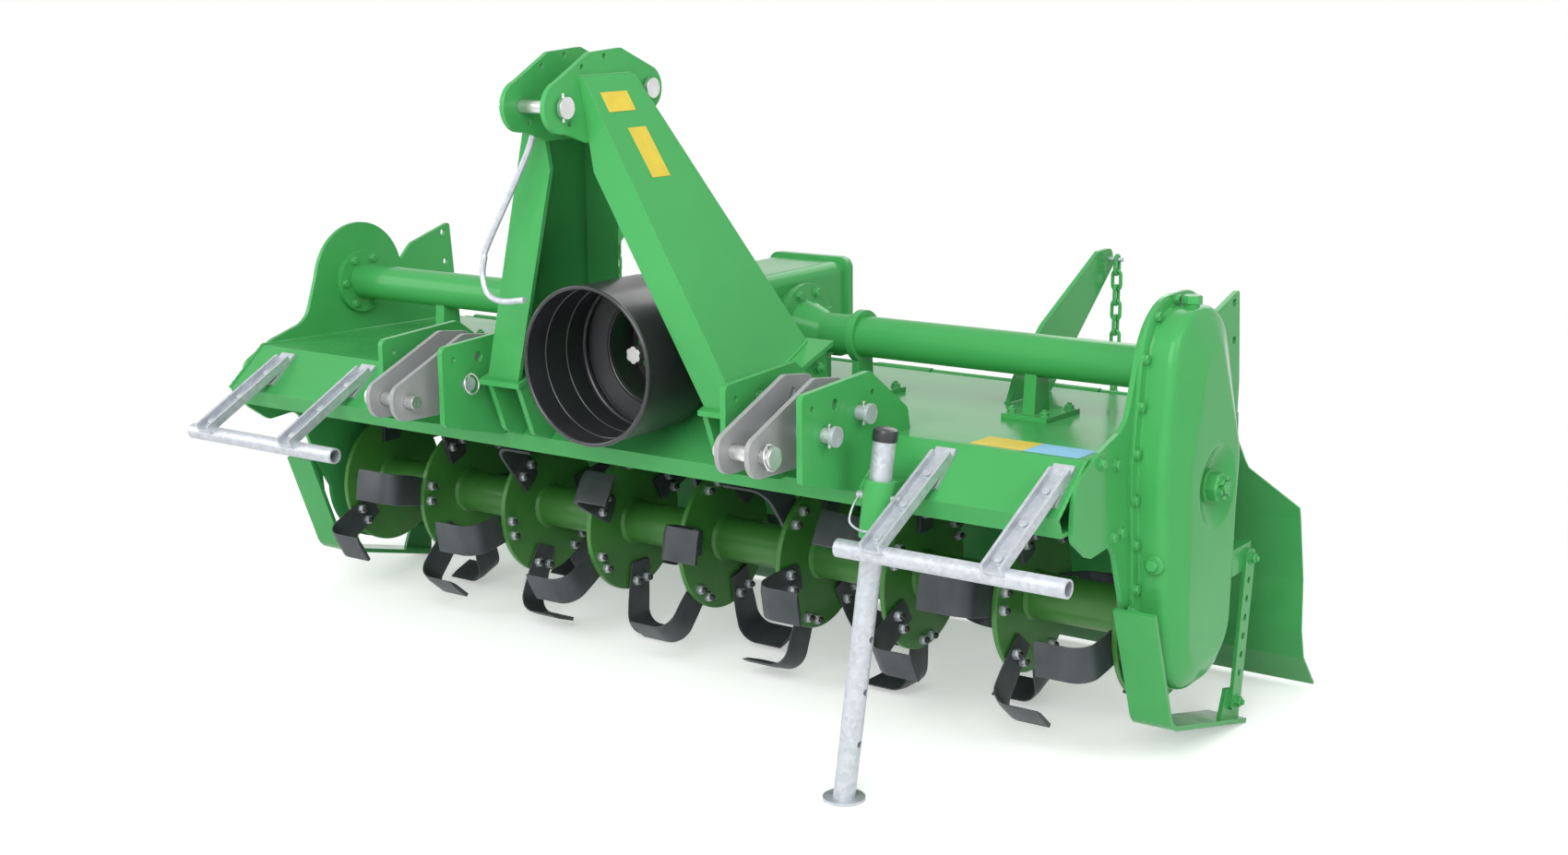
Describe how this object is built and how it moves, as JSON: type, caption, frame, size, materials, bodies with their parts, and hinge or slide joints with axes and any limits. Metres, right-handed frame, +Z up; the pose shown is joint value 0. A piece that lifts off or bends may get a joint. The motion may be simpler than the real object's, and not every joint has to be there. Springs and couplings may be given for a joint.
{
  "type": "rotary tiller",
  "caption": "Tractor-mounted rotary tiller: three-point mast, gearbox with cross tube and side chain case, bladed rotor under a hood, hinged tailgate on chains, skids and a front stand.",
  "frame": {"origin": "centre of the footprint on the floor the tiller is parked on", "axes": "+X along the rotor towards the chain case, -Y towards the tractor, +Z up"},
  "size_m": [2.372, 1.2796, 1.3658],
  "materials": {
    "green_paint": "gloss",
    "rotor_paint": "satin",
    "chain_paint": "satin",
    "clevis_grey": "satin",
    "zinc": "galvanised",
    "bright_steel": "bright",
    "black_plastic": "satin"
  },
  "bodies": {
    "frame": {"case_cover": "green_paint", "case_plate": "green_paint", "chain_shackles": "zinc", "cross_tube_left": "green_paint", "cross_tube_right": "green_paint", "front_beam": "green_paint", "gearbox": "green_paint", "gearbox_cover": "green_paint", "guard_left": "zinc", "guard_right": "zinc", "hitch_clevis_left": "clevis_grey", "hitch_clevis_right": "clevis_grey", "hitch_pins": "zinc", "hitch_plates": "green_paint", "hood_brackets": "green_paint", "hood_shell": "green_paint", "left_bearing_hub": "green_paint", "left_side_plate": "green_paint", "lift_arms": "green_paint", "lower_link_pins": "bright_steel", "mast_base_left": "green_paint", "mast_base_right": "green_paint", "mast_head_plates": "green_paint", "mast_head_spacer": "green_paint", "mast_post_left": "green_paint", "mast_post_right": "green_paint", "pto_hook": "zinc", "pto_shield": "black_plastic", "rear_mast_pin": "bright_steel", "skid_left": "green_paint", "skid_right": "green_paint", "skid_straps": "green_paint", "stand_sleeve": "green_paint", "strap_brackets": "green_paint", "tailgate_hinge": "green_paint", "top_link_pin": "bright_steel", "tube_clamps": "green_paint"},
    "chains": {"lift_chain_left": "chain_paint", "lift_chain_right": "chain_paint"},
    "pto": {"pto_shaft": "bright_steel"},
    "rotor": {"rotor": "rotor_paint"},
    "stand": {"stand_leg": "zinc"},
    "tailgate": {"tailgate": "green_paint"}
  },
  "joints": [
    {"name": "rotor_spin", "type": "hinge", "parent": "frame", "child": "rotor", "pos_m": [0.13, 0.11816, 0.27], "axis": [1, 0, 0], "continuous": true},
    {"name": "pto_spin", "type": "hinge", "parent": "frame", "child": "pto", "pos_m": [0.13, -0.28184, 0.766], "axis": [0, 1, 0], "continuous": true},
    {"name": "tailgate_lift", "type": "hinge", "parent": "frame", "child": "tailgate", "pos_m": [0.13, 0.44316, 0.621], "axis": [1, 0, 0], "range_deg": [0, 45]},
    {"name": "chain_swing", "type": "hinge", "parent": "frame", "child": "chains", "pos_m": [0.13, 0.61616, 0.886], "axis": [1, 0, 0], "range_deg": [0, 45]},
    {"name": "stand_slide", "type": "slide", "parent": "frame", "child": "stand", "axis": [0.0733, 0.0863, 0.9936], "range_m": [0, 0.35]}
  ],
  "couplings": [
    {"joint": "pto_spin", "follows": "rotor_spin", "ratio": 2.5},
    {"joint": "chain_swing", "follows": "tailgate_lift", "ratio": 1}
  ]
}
